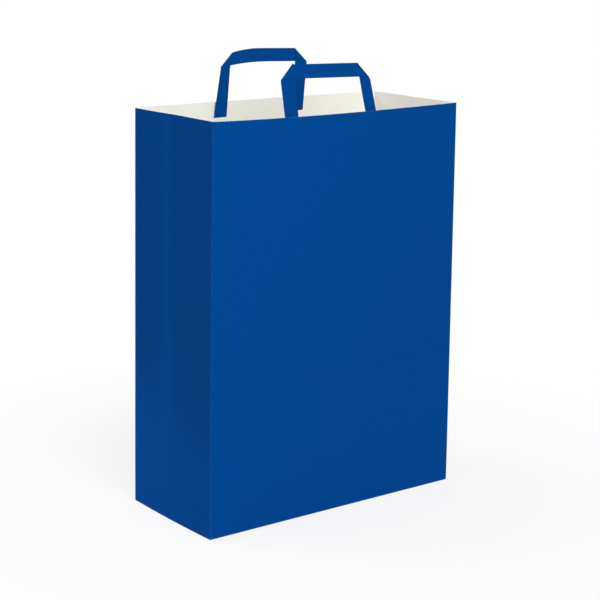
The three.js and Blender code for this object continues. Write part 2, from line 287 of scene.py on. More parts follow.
def joined(name, meshes):
    """One mesh holding several, with their materials kept"""
    materials = []
    points, faces, indices = [], [], []
    for mesh in meshes:
        slots = []
        for material in mesh.materials:
            if material not in materials:
                materials.append(material)
            slots.append(materials.index(material))
        first = len(points)
        points += [tuple(v.co) for v in mesh.vertices]
        for polygon in mesh.polygons:
            faces.append([first + i for i in polygon.vertices])
            indices.append(slots[polygon.material_index])
    whole = plain_mesh(name, points, faces)
    for material in materials:
        whole.materials.append(material)
    whole.polygons.foreach_set("material_index", indices)
    return whole


SHARP_ANGLE = math.radians(35)


def finished(name, mesh, nodes):
    """A finished piece on its body, in the place of its nodes"""
    mesh.polygons.foreach_set("use_smooth", [True] * len(mesh.polygons))
    mesh.set_sharp_from_angle(angle=SHARP_ANGLE)
    piece = add_object(name, mesh)
    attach(piece, "root")
    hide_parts(*nodes)
    return piece


# Node trees


class Nodes:
    """Adds nodes to a tree, and joins each input that is given as a socket"""

    def __init__(self, tree):
        self.tree = tree

    def add(self, kind, inputs=None, **settings):
        node = self.tree.nodes.new(kind)
        for key, value in settings.items():
            setattr(node, key, value)
        for key, value in (inputs or {}).items():
            if isinstance(value, bpy.types.NodeSocket):
                self.link(value, node.inputs[key])
            else:
                node.inputs[key].default_value = value
        return node

    def link(self, start, end):
        self.tree.links.new(start, end)

    def math(self, operation, *values, clamped=False):
        node = self.add("ShaderNodeMath", dict(enumerate(values)), operation=operation, use_clamp=clamped)
        return node.outputs[0]

    def scale(self, vector, factor):
        node = self.add("ShaderNodeVectorMath", {0: vector, "Scale": factor}, operation="SCALE")
        return node.outputs[0]


def new_group(kind, name, inputs, outputs):
    """A node group with its named sockets, each given as name, kind and default"""
    tree = bpy.data.node_groups.new(name, kind)
    for direction, sockets in (("INPUT", inputs), ("OUTPUT", outputs)):
        for socket_name, socket_kind, *default in sockets:
            socket = tree.interface.new_socket(socket_name, in_out=direction,
                                               socket_type="NodeSocket" + socket_kind)
            if default:
                socket.default_value = default[0]
    nodes = Nodes(tree)
    return tree, nodes, nodes.add("NodeGroupInput").outputs, nodes.add("NodeGroupOutput").inputs


PAPER_INPUTS = (
    ("Thickness", "Float", 0.15 * MM),
    ("Face Material", "Material"),
    ("Lining Material", "Material"),
    ("Cut Edge Material", "Material"),
)

# Points this near are one, where the paper's faces meet its cut edges
MERGE_DISTANCE = 0.01 * MM


def thickness_group():
    """Gives an open paper surface its thickness, inwards, with its lining and cut edges"""
    tree, nodes, given, result = new_group(
        "GeometryNodeTree",
        "Paper Thickness",
        (("Surface", "Geometry"), *PAPER_INPUTS),
        (("Paper", "Geometry"),),
    )
    inwards = nodes.math("MULTIPLY", given["Thickness"], -1.0)
    pushed = nodes.add("GeometryNodeExtrudeMesh",
                       {"Mesh": given["Surface"], "Offset Scale": inwards, "Individual": False}, mode="FACES")
    turned = nodes.add("GeometryNodeFlipFaces", {"Mesh": pushed.outputs["Mesh"]})
    both = nodes.add("GeometryNodeJoinGeometry", {"Geometry": given["Surface"]})
    nodes.link(turned.outputs["Mesh"], both.inputs["Geometry"])
    closed = nodes.add("GeometryNodeMergeByDistance",
                       {"Geometry": both.outputs[0], "Distance": MERGE_DISTANCE})
    paper = nodes.add("GeometryNodeRealizeInstances", {"Geometry": closed.outputs[0]})
    paper = nodes.add("GeometryNodeSetMaterial",
                      {"Geometry": paper.outputs[0], "Material": given["Face Material"]})
    for part, material in (("Top", "Lining Material"), ("Side", "Cut Edge Material")):
        paper = nodes.add("GeometryNodeSetMaterial",
                          {"Geometry": paper.outputs[0], "Selection": pushed.outputs[part],
                           "Material": given[material]})
    nodes.link(paper.outputs[0], result["Paper"])
    return tree


def end_in_paper(nodes, given, surface, thickness, result):
    """Gives a tree's surface its thickness and materials, and hands it on as plain geometry"""
    paper = nodes.add("GeometryNodeGroup", node_tree=thickness)
    nodes.link(surface, paper.inputs["Surface"])
    for key, *_ in PAPER_INPUTS:
        nodes.link(given[key], paper.inputs[key])
    whole = nodes.add("GeometryNodeRealizeInstances", {"Geometry": paper.outputs[0]})
    nodes.link(whole.outputs[0], result)


def strip_tree(thickness):
    """A strip of paper between two rails. The start mesh holds one rail's points, then the other's"""
    tree, nodes, given, result = new_group(
        "GeometryNodeTree",
        "Paper Strip",
        (("Rails", "Geometry"), ("Stations", "Int", 2), ("Columns", "Int", 2),
         ("Lift", "Float", 0.0), *PAPER_INPUTS),
        (("Strip", "Geometry"),),
    )
    grid = nodes.add("GeometryNodeMeshGrid", {"Size X": 1.0, "Size Y": 1.0, "Vertices X": given["Stations"],
                                              "Vertices Y": given["Columns"]})
    place = nodes.add("ShaderNodeSeparateXYZ", {0: nodes.add("GeometryNodeInputPosition").outputs[0]})
    along = nodes.math("ADD", place.outputs[0], 0.5)
    across = nodes.math("ADD", place.outputs[1], 0.5)
    last = nodes.math("SUBTRACT", given["Stations"], 1.0)
    station = nodes.math("ROUND", nodes.math("MULTIPLY", along, last))
    rails = []
    for index in (station, nodes.math("ADD", station, given["Stations"])):
        sample = nodes.add("GeometryNodeSampleIndex", {"Geometry": given["Rails"], "Index": index},
                           data_type="FLOAT_VECTOR", domain="POINT")
        nodes.link(nodes.add("GeometryNodeInputPosition").outputs[0], sample.inputs["Value"])
        rails.append(sample.outputs["Value"])
    between = nodes.add("ShaderNodeMix", data_type="VECTOR")
    vector_inputs = [s for s in between.inputs if s.type == "VECTOR" and s.enabled]
    nodes.link(across, between.inputs["Factor"])
    nodes.link(rails[0], vector_inputs[-2])
    nodes.link(rails[1], vector_inputs[-1])
    spread_out = [s for s in between.outputs if s.type == "VECTOR" and s.enabled][0]
    spread = nodes.add("GeometryNodeSetPosition", {"Geometry": grid.outputs["Mesh"], "Position": spread_out})
    normal = nodes.add("GeometryNodeInputNormal").outputs[0]
    raised = nodes.add("GeometryNodeSetPosition", {"Geometry": spread.outputs[0],
                                                   "Offset": nodes.scale(normal, given["Lift"])})
    end_in_paper(nodes, given, raised.outputs[0], thickness, result["Strip"])
    return tree


def wall_tree(thickness):
    """Raises the creases and the slack swells of the walls, then gives them their thickness"""
    tree, nodes, given, result = new_group(
        "GeometryNodeTree",
        "Creased Walls",
        (("Walls", "Geometry"), ("Crease Height", "Float", 0.35 * MM),
         ("Crease Half Width", "Float", 7 * MM), ("Swell Height", "Float", 0.5 * MM),
         ("Swell Size", "Float", 0.11), ("Seed", "Float", 4.0), *PAPER_INPUTS),
        (("Walls", "Geometry"),),
    )

    def attribute(name, kind="FLOAT"):
        node = nodes.add("GeometryNodeInputNamedAttribute", {"Name": name}, data_type=kind)
        return [s for s in node.outputs if s.enabled][0]

    near = nodes.math("DIVIDE", attribute("crease_distance"), given["Crease Half Width"])
    ridge = nodes.math("MULTIPLY", nodes.math("SUBTRACT", 1.0, near, clamped=True), given["Crease Height"])
    position = nodes.add("GeometryNodeInputPosition").outputs[0]
    size = nodes.math("DIVIDE", 1.0, given["Swell Size"])
    noise = nodes.add("ShaderNodeTexNoise",
                      {"Vector": position, "W": given["Seed"], "Scale": size, "Detail": 1.0},
                      noise_dimensions="4D")
    swell = nodes.math("MULTIPLY", nodes.math("SUBTRACT", noise.outputs[0], 0.5), given["Swell Height"])
    slack = nodes.math("MULTIPLY", swell, attribute("slack"))
    push = nodes.scale(attribute("outward", "FLOAT_VECTOR"), nodes.math("ADD", ridge, slack))
    creased = nodes.add("GeometryNodeSetPosition", {"Geometry": given["Walls"], "Offset": push})
    end_in_paper(nodes, given, creased.outputs[0], thickness, result["Walls"])
    return tree


# Materials


# How much of the paper's tone and of its relief is cloudy, the rest being fine fibres
CLOUD_IN_TONE = 0.6
CLOUD_IN_RELIEF = 0.3
# The grain's noise lies between these nearly everywhere
GRAIN_LOW, GRAIN_HIGH = 0.3, 0.7
ROUGHNESS_SWING = 0.06
GRAIN_DEPTH = 0.05 * MM

PRINT_FINISH = {"roughness": 0.6, "specular": 0.012, "relief": 0.3}
LINING_FINISH = {"roughness": 0.75, "specular": 0.2, "relief": 0.4}
EDGE_FINISH = {"roughness": 0.85, "specular": 0.1, "relief": 0.5}
PRINT_SWING = 0.05
LINING_SWING = 0.02
EDGE_SWING = 0.05
# How pale the print is rubbed along a fold, and how much of it
RUBBED_PALENESS = 0.25
RUBBED_SHARE = 0.25

# Painted light and shade on the straps: the rear strap's print is made lighter and the front strap's darker
# than the bag's, to make up for how the light falls on them
PRINT_PAINTED_LIGHT = {"Blue Print": 1.0, "Front Strap Print Painted Shade": 0.96, "Rear Strap Print Painted Light": 1.17}


def grain_group():
    """Paper's own unevenness: cloudy tone, fine fibres, their relief and how the sheen breaks up"""
    tree, nodes, given, result = new_group(
        "ShaderNodeTree",
        "Paper Grain",
        (("Cloud Size", "Float", 0.006), ("Fibre Size", "Float", 0.0008)),
        (("Tone", "Float"), ("Sheen Break", "Float"), ("Relief", "Float")),
    )
    place = nodes.add("ShaderNodeTexCoord").outputs["Object"]
    cloud_scale = nodes.math("DIVIDE", 1.0, given["Cloud Size"])
    fibre_scale = nodes.math("DIVIDE", 1.0, given["Fibre Size"])
    cloud = nodes.add("ShaderNodeTexNoise", {"Vector": place, "Scale": cloud_scale, "Detail": 3.0})
    fibres = nodes.add("ShaderNodeTexNoise", {"Vector": place, "Scale": fibre_scale, "Detail": 2.0,
                                              "Distortion": 1.5})
    tone, relief = (
        nodes.math("ADD", nodes.math("MULTIPLY", cloud.outputs[0], cloud_share),
                   nodes.math("MULTIPLY", fibres.outputs[0], 1 - cloud_share))
        for cloud_share in (CLOUD_IN_TONE, CLOUD_IN_RELIEF))
    nodes.link(tone, result["Tone"])
    nodes.link(cloud.outputs[0], result["Sheen Break"])
    nodes.link(relief, result["Relief"])
    return tree


def new_material(name):
    """A new material, its nodes and its shader"""
    material = bpy.data.materials.new(name)
    material.use_nodes = True
    return material, Nodes(material.node_tree), material.node_tree.nodes["Principled BSDF"]


def paper_material(name, grain, colour, swing, roughness, specular, relief, worn=None):
    """A paper finish: its tone swings to both sides of its colour, and its folds may be worn to another. A
    worn finish also takes the painted light and shade that the walls' points carry
    """
    material, nodes, shader = new_material(name)
    fibre = nodes.add("ShaderNodeGroup", node_tree=grain).outputs
    ramp = nodes.add("ShaderNodeValToRGB", {"Fac": fibre["Tone"]})
    for stop, place, share in zip(ramp.color_ramp.elements, (GRAIN_LOW, GRAIN_HIGH), (1 - swing, 1 + swing)):
        stop.position = place
        stop.color = (*shaded(colour, share), 1)
    toned = ramp.outputs[0]
    if worn:
        # Painted light and shade, carried by the walls' points: lighter print at the feet and along the
        # gussets' folds, darker in the front crease
        lift = nodes.add("ShaderNodeAttribute", attribute_name="painted_light").outputs["Fac"]
        toned = nodes.scale(toned, nodes.math("ADD", lift, 1.0))
        fold = nodes.add("ShaderNodeAttribute", attribute_name="fold_wear").outputs["Fac"]
        patchy = nodes.math("MULTIPLY", fibre["Sheen Break"], RUBBED_SHARE)
        rubbed = nodes.math("MULTIPLY", fold, patchy, clamped=True)
        mix = nodes.add("ShaderNodeMix", data_type="RGBA")
        nodes.link(rubbed, mix.inputs["Factor"])
        colour_inputs = [s for s in mix.inputs if s.type == "RGBA"]
        nodes.link(toned, colour_inputs[0])
        colour_inputs[1].default_value = (*worn, 1)
        toned = [s for s in mix.outputs if s.type == "RGBA"][0]
    rough = nodes.add("ShaderNodeMapRange",
                      {"Value": fibre["Sheen Break"], "From Min": GRAIN_LOW, "From Max": GRAIN_HIGH,
                       "To Min": roughness - ROUGHNESS_SWING, "To Max": roughness + ROUGHNESS_SWING})
    bump = nodes.add("ShaderNodeBump",
                     {"Height": fibre["Relief"], "Strength": relief, "Distance": GRAIN_DEPTH})
    for value, key in ((toned, "Base Color"), (rough.outputs[0], "Roughness"), (bump.outputs[0], "Normal")):
        nodes.link(value, shader.inputs[key])
    shader.inputs["Specular IOR Level"].default_value = specular
    return material


def shaded(colour, share):
    return tuple(c * share for c in colour)


def papers():
    """The paper materials and node trees, made once and shared by every piece"""
    if "Blue Print" not in bpy.data.materials:
        colours = bpy.context.scene.bag_colours
        grain = grain_group()
        blue, pale, cream = (tuple(c) for c in (colours.print_blue, colours.lining, colours.cut_edge))
        rubbed = tuple(lerp(b, p, RUBBED_PALENESS) for b, p in zip(blue, pale))
        # The bag's print, and copies of it for the straps with painted light on the rear strap and painted
        # shade on the front one
        for name, tone in PRINT_PAINTED_LIGHT.items():
            paper_material(name, grain, shaded(blue, tone), PRINT_SWING, **PRINT_FINISH, worn=rubbed)
        paper_material("Bare Lining", grain, pale, LINING_SWING, **LINING_FINISH)
        paper_material("Cut Edge", grain, cream, EDGE_SWING, **EDGE_FINISH)
        thickness = thickness_group()
        strip_tree(thickness)
        wall_tree(thickness)
    return {
        "Face Material": bpy.data.materials["Blue Print"],
        "Lining Material": bpy.data.materials["Bare Lining"],
        "Cut Edge Material": bpy.data.materials["Cut Edge"],
    }


def strip(name, rails, columns, thickness, materials, lift=0.0):
    """A strip of paper between two rails"""
    first, second = rails
    mesh = plain_mesh(name, [*first, *second], [])
    inputs = {"Stations": len(first), "Columns": columns, "Lift": lift, "Thickness": thickness, **materials}
    return made_plain(name, mesh, bpy.data.node_groups["Paper Strip"], inputs)


# Bag body


# Facets along each panel, round each upright corner and up the base fold
PANEL_STEPS = {FRONT: 64, RIGHT: 56, BACK: 64, LEFT: 56}
CORNER_STEPS = 6
FOLD_ROWS = 4
# Rows above and below a crease, and how near to one an even row may come
CREASE_ROWS = tuple(offset * MM for offset in (-7, -3, -1, 0, 1, 3, 7))
ROW_CLEARANCE = 1 * MM
# The V in the gusset fades out over this height above the foot
CREASE_FOOT = 7 * MM
NO_CREASE = 1.0

# Painted bounce light from the floor, lighter down at the foot: how much lighter, from which height, and over
# what height it comes in.
# The gusset has its own values at its front and at its back
FRONT_FOOT_BOUNCE_LIGHT = 0.045
FRONT_FOOT_HEIGHT = 200 * MM
GUSSET_FOOT_BOUNCE_LIGHTS = (0.16, 0.24)
GUSSET_FOOT_HEIGHTS = (130 * MM, 185 * MM)
GUSSET_FOOT_RUNS = (70 * MM, 110 * MM)

# Painted highlight: a lighter streak along the gusset's fold where it catches the light, wider around one
# height. FOLD_STREAK_AT is a share of the depth
FOLD_HIGHLIGHT_LIFT = 0.12
FOLD_STREAK_AT = 0.58
FOLD_STREAK_HALF_WIDTH = 4.5 * MM
STREAK_SPREAD = 1.8
STREAK_SPREAD_LIFT = 0.04
STREAK_SPREAD_AT = 150 * MM
STREAK_SPREAD_REACH = 42 * MM

# Painted shade: a darker line in the front crease, from its left end to its right end
CREASE_SHADE = (0.042, 0.030)
CREASE_SHADE_HEIGHTS = (150.7 * MM, 154.8 * MM)
CREASE_SHADE_HALF_WIDTH = 2.2 * MM

# The slack waves come in above SLACK_FROM, die out at SLACK_UNTIL and keep clear of the corners
SLACK_FROM = 20 * MM
SLACK_RISE = 80 * MM
SLACK_UNTIL = 360 * MM
SLACK_FALL = 50 * MM
SLACK_CORNER_SHARE = 0.15

# Print rubbed off along the upright corners and at the very foot
CORNER_WEAR = 0.35
FOOT_WEAR_HEIGHT = 1.2 * MM


def wall_levels(shape):
    """Heights of the walls' rows: close together in the base fold and at the creases"""
    fold = [BASE_FOLD * (1 - math.cos(math.pi / 2 * k / FOLD_ROWS)) for k in range(FOLD_ROWS + 1)]
    low_step = shape.apex / (PANEL_STEPS[LEFT] / 2)
    high_step = 2 * low_step
    high_rows = round((shape.height - shape.apex) / high_step)
    rows = [k * low_step for k in range(1, PANEL_STEPS[LEFT] // 2)]
    rows += [shape.apex + k * high_step for k in range(1, high_rows + 1)]
    extra = [level + offset for level in (shape.apex, shape.front_crease) for offset in CREASE_ROWS]
    kept = [z for z in rows if all(abs(z - e) > ROW_CLEARANCE for e in extra)]
    rim = [shape.height] if abs(kept[-1] - shape.height) > ROW_CLEARANCE else []
    return sorted(fold + kept + extra + rim)


def crease_distance(shape, side, u, z):
    """Distance to the nearest crease that the folded bag has left on this side"""
    found = [NO_CREASE]
    if side == FRONT:
        found.append(abs(z - shape.front_crease))
    elif side == BACK:
        found.append(abs(z - shape.apex))
    else:
        if share_to_back(side, u) > 0.5:
            found.append(abs(z - shape.apex))
        if z < shape.apex:
            slanting = abs(abs(2 * u - 1) * shape.apex - (shape.apex - z)) / math.sqrt(2)
            found.append(max(slanting, CREASE_FOOT - z))
    return min(found)


def hump(distance, reach):
    return math.exp(-(distance / reach) ** 2)


# Painted bounce light at the front's foot, less a painted shade line in the crease
def front_painted_light(u, z):
    foot = FRONT_FOOT_BOUNCE_LIGHT * smooth((FRONT_FOOT_HEIGHT - z) / FRONT_FOOT_HEIGHT)
    crease = lerp(*CREASE_SHADE_HEIGHTS, u)
    return foot - lerp(*CREASE_SHADE, u) * hump(z - crease, CREASE_SHADE_HALF_WIDTH)


# Painted bounce light at the gusset's foot, and a painted highlight along its fold
def gusset_painted_light(shape, to_back, z):
    feet = [lift * smooth((top - z) / run)
            for lift, top, run in zip(GUSSET_FOOT_BOUNCE_LIGHTS, GUSSET_FOOT_HEIGHTS, GUSSET_FOOT_RUNS)]
    spread = hump(z - STREAK_SPREAD_AT, STREAK_SPREAD_REACH)
    reach = FOLD_STREAK_HALF_WIDTH * (1 + STREAK_SPREAD * spread)
    streak = FOLD_HIGHLIGHT_LIFT + STREAK_SPREAD_LIFT * spread
    streak *= hump((to_back - FOLD_STREAK_AT) * shape.depth, reach)
    return lerp(*feet, smooth(to_back)) + streak * smooth(z / shape.front_crease)


def painted_light(shape, side, u, z):
    """Painted light and shade here: how much lighter than its own colour the print is painted, as a share of
    it, below 0 where it is painted darker
    """
    if side == BACK:
        return 0.0
    if side == FRONT:
        return front_painted_light(u, z)
    return gusset_painted_light(shape, share_to_back(side, u), z)


def panel_values(shape, side, u, z):
    """What a point on a side carries: place, outward, slack, crease, wear and painted light and shade"""
    loose = smooth((z - SLACK_FROM) / SLACK_RISE) * smooth((SLACK_UNTIL - z) / SLACK_FALL)
    slack = loose * smooth(min(u, 1 - u) / SLACK_CORNER_SHARE)
    wear = smooth(1 - z / FOOT_WEAR_HEIGHT)
    outward = (*SIDES[side]["out"], 0.0)
    crease = crease_distance(shape, side, u, z)
    return shape.point(side, u, z), outward, slack, crease, wear, painted_light(shape, side, u, z)


def corner_values(shape, side, turn, z):
    """The same for a point on the rounded corner after a side"""
    next_side = (side + 1) % 4
    wear = 1.0 if z <= BASE_FOLD else CORNER_WEAR * smooth(1 - abs(turn - 0.5) * 2)
    lift = lerp(painted_light(shape, side, 1.0, z), painted_light(shape, next_side, 0.0, z), turn)
    return shape.corner_point(side, turn, z), (0.0, 0.0, 0.0), 0.0, NO_CREASE, wear, lift


def wall_faces(shape, places, levels):
    """Four-sided faces between the rows, cut along the V where it crosses a gusset"""
    count = len(places)
    faces = []
    for row in range(len(levels) - 1):
        for column in range(count):
            a, b = row * count + column, row * count + (column + 1) % count
            c, d = b + count, a + count
            side, u, _ = places[column]
            if side in (FRONT, BACK) or u is None or levels[row + 1] > shape.apex + ROUNDING:
                faces.append([a, b, c, d])
            elif u + 0.5 / PANEL_STEPS[side] < 0.5:
                faces += [[a, b, d], [b, c, d]]
            else:
                faces += [[a, b, c], [a, c, d]]
    return faces


def wall_mesh(shape):
    """The walls' outer surface, one closed ring of points at each level"""
    places = []
    for side in range(4):
        steps = PANEL_STEPS[side]
        places += [(side, k / steps, None) for k in range(1, steps)]
        places += [(side, None, k / CORNER_STEPS) for k in range(CORNER_STEPS + 1)]
    levels = wall_levels(shape)
    carried = []
    for z in levels:
        for side, u, turn in places:
            if u is None:
                carried.append(corner_values(shape, side, turn, z))
            else:
                carried.append(panel_values(shape, side, u, z))
    points, outward, slack, crease, wear, lift = zip(*carried)
    mesh = plain_mesh("bag_walls", points, wall_faces(shape, places, levels))
    point_attribute(mesh, "outward", outward, "FLOAT_VECTOR")
    numbers = {"slack": slack, "crease_distance": crease, "fold_wear": wear, "painted_light": lift}
    for name, values in numbers.items():
        point_attribute(mesh, name, values)
    return mesh


class CARRIERBAG_OT_walls(bpy.types.Operator):
    """Make the four walls of the bag as one creased sheet of paper"""

    bl_idname = "carrier_bag.walls"
    bl_label = "Make Walls"

    def execute(self, context):
        sizes = context.scene.bag_sizes
        inputs = {"Crease Height": sizes.crease_height, "Crease Half Width": sizes.crease_half_width,
                  "Swell Height": sizes.swell, "Thickness": sizes.paper, **papers()}
        tree = bpy.data.node_groups["Creased Walls"]
        mesh = made_plain("bag_walls", wall_mesh(BagShape(sizes)), tree, inputs)
        finished("bag_walls", mesh, ["bag_body"])
        return {"FINISHED"}


# Folded base and lap seam


FLAP_COLUMNS = 8
LAP_COLUMNS = 5
LAP_CLEARANCE = 0.02 * MM


def wall_foot(shape, side, z):
    """Points along the foot of a side, from the middle of one rounded corner to the middle of the next"""
    inset = shape.paper / 2
    before = (side - 1) % 4
    half_turns = [k / CORNER_STEPS for k in range(CORNER_STEPS // 2 + 1)]
    points = [shape.corner_point(before, 0.5 + turn, z, inset) for turn in half_turns]
    steps = PANEL_STEPS[side] // 4
    points += [shape.point(side, k / steps, z, inset) for k in range(1, steps)]
    points += [shape.corner_point(side, turn, z, inset) for turn in half_turns]
    return points


def flap_rails(shape, side, z, reach, narrows):
    """A base flap's two rails: the foot of its wall, and its cut edge across the base"""
    foot = wall_foot(shape, side, z)
    nx, ny = SIDES[side]["out"]
    start, end = foot[0], foot[-1]
    along = end - start
    total = along.length
    tip = []
    for point in foot:
        share = (point - start).dot(along) / total**2
        if narrows:
            share = lerp(reach / total, 1 - reach / total, share)
        edge = start.lerp(end, share)
        tip.append(Vector((edge.x - nx * reach, edge.y - ny * reach, z)))
    return tip, foot


class CARRIERBAG_OT_base(bpy.types.Operator):
    """Make the folded and glued base: two long flaps with the two end flaps over them"""

    bl_idname = "carrier_bag.base"
    bl_label = "Make Base"

    def execute(self, context):
        sizes = context.scene.bag_sizes
        shape = BagShape(sizes)
        materials = papers()
        paper = sizes.paper
        reach = shape.depth / 2 + FLAP_OVERLAP / 2
        # Each flap's side, how many papers up it lies, and whether it narrows to its edge
        flaps = ((BACK, 0, True), (FRONT, 1, True), (RIGHT, 3, False), (LEFT, 3, False))
        meshes = []
        for side, layer, narrows in flaps:
            rails = flap_rails(shape, side, layer * paper, reach, narrows)
            meshes.append(strip(f"flap_{side}", rails, FLAP_COLUMNS, paper, materials))
        finished("bag_base", joined("bag_base", meshes), ["bag_body"])
        return {"FINISHED"}


class CARRIERBAG_OT_lap_seam(bpy.types.Operator):
    """Make the lengthwise glued seam on the back panel, beside a corner"""

    bl_idname = "carrier_bag.lap_seam"
    bl_label = "Make Lap Seam"

    def execute(self, context):
        sizes = context.scene.bag_sizes
        shape = BagShape(sizes)
        heights = [z for z in wall_levels(shape) if z >= BASE_FOLD]
        rails = []
        for from_corner in (LAP_FROM_CORNER + LAP_WIDTH, LAP_FROM_CORNER):
            u = 1 - from_corner / shape.width
            rail = []
            for z in heights:
                near = abs(z - shape.apex) / sizes.crease_half_width
                ridge = sizes.crease_height * max(0.0, 1 - near)
                rail.append(shape.point(BACK, u, z, -sizes.paper - ridge - LAP_CLEARANCE))
            rails.append(rail)
        mesh = strip("bag_lap_seam", rails[::-1], LAP_COLUMNS, sizes.paper, papers())
        finished("bag_lap_seam", mesh, ["bag_body"])
        return {"FINISHED"}


# Handles and their patches


def leg_edge(handle, side, v, towards):
    """How far along a leg's outer (1) or inner (-1) edge stands from the handle's middle at a height"""
    leg = handle["legs"][0 if side < 0 else 1]
    climb = max(0.0, v) / NECK_HEIGHT
    middle = lerp(leg["foot"], leg["neck"], climb)
    return side * (middle + towards * lerp(leg["foot_width"], leg["neck_width"], climb) / 2)


def meet(a, b, c, d):
    """Where the line through a and b crosses the line through c and d"""
    cross = (b[0] - a[0]) * (d[1] - c[1]) - (b[1] - a[1]) * (d[0] - c[0])
    t = ((c[0] - a[0]) * (d[1] - c[1]) - (c[1] - a[1]) * (d[0] - c[0])) / cross
    return lerp(a[0], b[0], t), lerp(a[1], b[1], t)


def mitre(handle, side):
    """The fold at a top corner, from the leg's outer edge up to the strap's top edge"""
    leg = handle["legs"][0 if side < 0 else 1]
    slope = math.tan(handle["tilt"])
    sag = handle["droop_above"] if side > 0 else 0.0
    height = handle["rise"] + slope * side * leg["neck"] - leg["mitre_drop"] - sag
    low = (leg_edge(handle, side, height, 1), height)
    along = low[0] - side * leg["mitre_run"]
    return low, (along, handle["rise"] + slope * along - sag)


def bent(start, middle, end, t):
    return tuple(lerp(lerp(a, b, t), lerp(b, c, t), t) for a, b, c in zip(start, middle, end))


class HandleSeat:
    """Where a handle stands against its panel: its turn, the panel's slope and how far it is set back"""

    def __init__(self, shape, handle, side):
        self.handle = handle
        self.shape = shape
        self.side = side
        self.facing = 1 if side == FRONT else -1
        feet = [sign * leg["foot"] for sign, leg in zip((-1, 1), handle["legs"])]
        left, right = (self.inner_face(foot, 0) for foot in feet)
        self.turn = math.atan2(right[1] - left[1], right[0] - left[0])
        self.middle = left[1] - left[0] * math.tan(self.turn)
        lower = sum(self.inner_face(foot, -GLUE_LENGTH)[1] for foot in feet) / 2
        self.panel_lean = math.atan2(lower - self.middle, GLUE_LENGTH)
        edges = [leg_edge(handle, leg, 0, towards) for leg in (-1, 1) for towards in (1, -1)]
        self.set_back = max(self.proud(u, v) for u in edges for v in (0, -GLUE_LENGTH)) + GLUE_GAP

    def on_panel(self, u, v, inset):
        """A point u from the handle's middle and v above the patch's edge, inset from the panel's outside"""
        z = self.shape.patch_top + v
        start = self.shape.corner(SIDES[self.side]["from"], z)[0]
        end = self.shape.corner(SIDES[self.side]["to"], z)[0]
        along = (self.handle["centre"] + self.facing * u - start) / (end - start)
        return self.shape.point(self.side, along, z, inset)

    def inner_face(self, u, v):
        point = self.on_panel(u, v, self.shape.paper)
        return self.facing * (point.x - self.handle["centre"]), self.facing * point.y

    def proud(self, u, v):
        x, y = self.inner_face(u, v)
        return y - (self.middle + x * math.tan(self.turn) - v * math.tan(self.panel_lean))

    def glued(self, u, v, layer):
        """A point of the glued end: on the panel low down, and clear of it where the free strap starts"""
        if v >= 0:
            return self.place(u, layer, v)
        flat = self.on_panel(u, v, self.shape.paper + GLUE_FILM + layer)
        off = self.place(u, layer, 0) - self.on_panel(u, 0, self.shape.paper + GLUE_FILM + layer)
        return flat + off * max(0.0, 1 + v / GLUE_LENGTH) ** 2

    def place(self, u, d, v):
        """A point of the free strap: u to the right, d inwards and v up its leaning plane"""
        angle = -self.handle["lean"]
        y = d * math.cos(angle) - v * math.sin(angle) + self.set_back
        z = d * math.sin(angle) + v * math.cos(angle)
        cos, sin = math.cos(self.turn), math.sin(self.turn)
        x, y = u * cos - y * sin, u * sin + y * cos + self.middle
        return Vector((self.facing * x + self.handle["centre"], self.facing * y, self.shape.patch_top + z))


LEG_STEPS = 12
GLUED_STEPS = 8
FOLD_STEPS = 6
TOP_STEPS = 16
STRAP_COLUMNS = 7
STRAP_BEVEL = 0.12 * MM
BEVEL_SEGMENTS = 2
BEVEL_FROM = math.radians(60)
# Air between the leg's layer and the strap's at a mitre
PLY_GAP = 0.1 * MM


def strap_layer(thickness):
    """How far the middle of the leg's or the strap's layer lies from the fold between them"""
    return (thickness + PLY_GAP) / 2


def strap_edge(handle, u, drop):
    """A point u along the strap and drop below its top edge"""
    return u, handle["rise"] + math.tan(handle["tilt"]) * u - drop


def corner_fold(handle, side, strap_width, thickness):
    """Where the leg's and the strap's edges end at a top corner's fold, and which way the fold faces"""
    low, high = mitre(handle, side)
    run = Vector((high[0] - low[0], high[1] - low[1])).normalized()
    away = Vector((run.y, -run.x)) * (1 if side > 0 else -1)
    inwards = away * -(strap_layer(thickness) + thickness / 2)
    low, high = (Vector(p) + inwards for p in (low, high))
    leg_ends = []
    for towards in (1, -1):
        foot = (leg_edge(handle, side, 0, towards), 0)
        top = (leg_edge(handle, side, handle["rise"], towards), handle["rise"])
        leg_ends.append(meet(foot, top, low, high))
    droops = (handle["droop_below"], handle["droop_above"]) if side > 0 else (0.0, 0.0)
    drops = (strap_width + droops[0], droops[1])
    strap_ends = []
    for drop in drops:
        strap_ends.append(meet(low, high, strap_edge(handle, -1, drop), strap_edge(handle, 1, drop)))
    return {"away": away, "leg": leg_ends, "strap": strap_ends}


def leg_pairs(seat, side, fold, layer):
    """Pairs of edge points from a leg's glued end up to its fold"""
    pairs = []
    for k in range(GLUED_STEPS):
        v = -GLUE_LENGTH * (1 - k / GLUED_STEPS)
        pairs.append([seat.glued(leg_edge(seat.handle, side, 0, towards), v, layer) for towards in (1, -1)])
    for k in range(LEG_STEPS + 1):
        pair = []
        for towards, top in zip((1, -1), fold["leg"]):
            v = top[1] * k / LEG_STEPS
            pair.append(seat.place(leg_edge(seat.handle, side, v, towards), layer, v))
        pairs.append(pair)
    return pairs


def fold_pairs(seat, fold, layer):
    """Pairs round a fold, from the leg's layer to the strap's"""
    pairs = []
    for k in range(1, FOLD_STEPS):
        turn = math.pi * k / FOLD_STEPS
        pair = []
        for start, end in zip(fold["leg"], fold["strap"]):
            at = Vector(start).lerp(Vector(end), k / FOLD_STEPS) + fold["away"] * layer * math.sin(turn)
            pair.append(seat.place(at.x, layer * math.cos(turn), at.y))
        pairs.append(pair)
    return pairs


